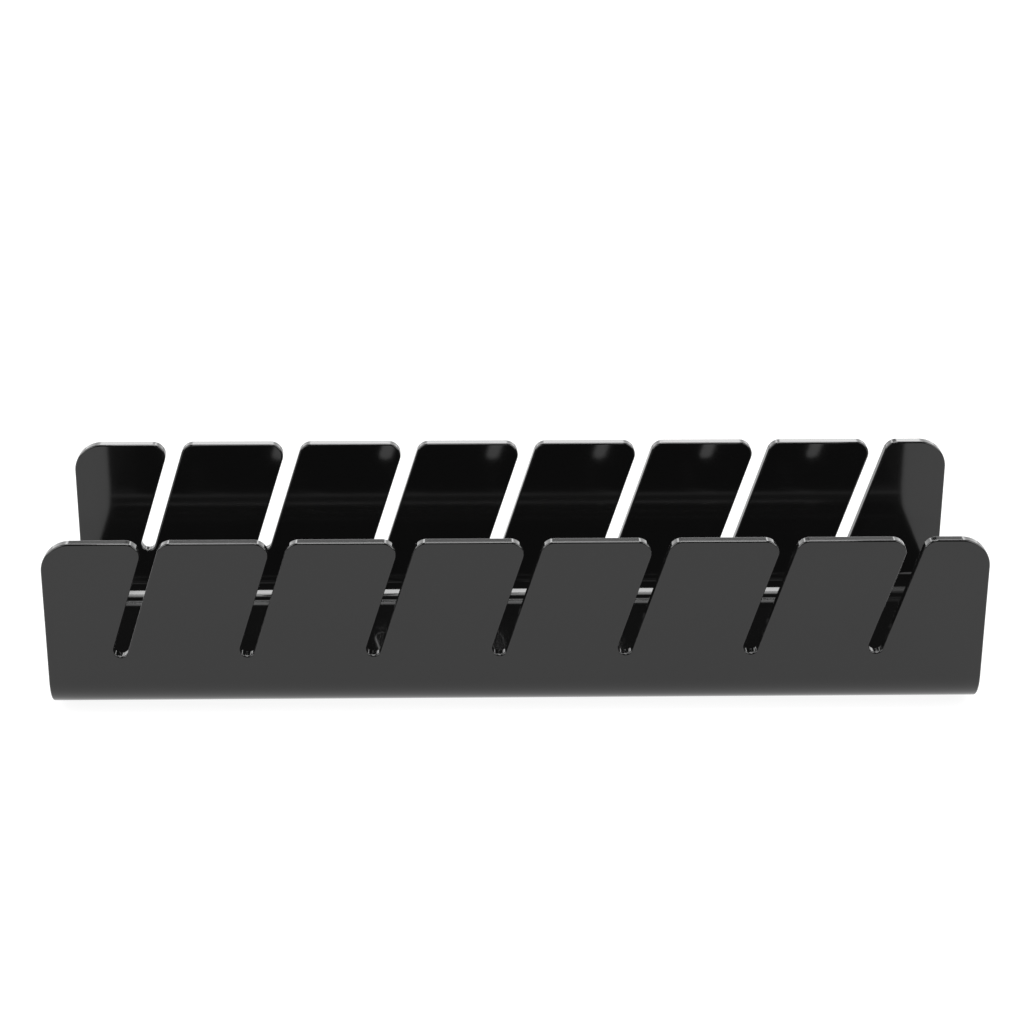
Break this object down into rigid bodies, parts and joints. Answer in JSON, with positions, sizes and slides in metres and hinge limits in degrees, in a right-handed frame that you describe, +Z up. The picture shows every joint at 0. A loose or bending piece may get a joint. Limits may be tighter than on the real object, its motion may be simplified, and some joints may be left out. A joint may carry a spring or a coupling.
{
  "type": "slotted card rack",
  "caption": "Open-ended trough bent from one black acrylic sheet, with leaning round-bottomed slots cut in line through both walls to hold cards upright.",
  "frame": {"origin": "on the table, at the middle of the footprint", "axes": "+X along the trough, the way the slots lean; +Y from the front wall to the back wall; +Z up"},
  "size_m": [0.25, 0.0706, 0.0512],
  "materials": {
    "acrylic": "gloss black cast acrylic with polished edges",
    "bumper": "matt black rubber"
  },
  "bodies": {
    "root": {"slotted_trough": "acrylic", "foot_front_left": "bumper", "foot_front_right": "bumper", "foot_back_left": "bumper", "foot_back_right": "bumper"}
  },
  "joints": []
}
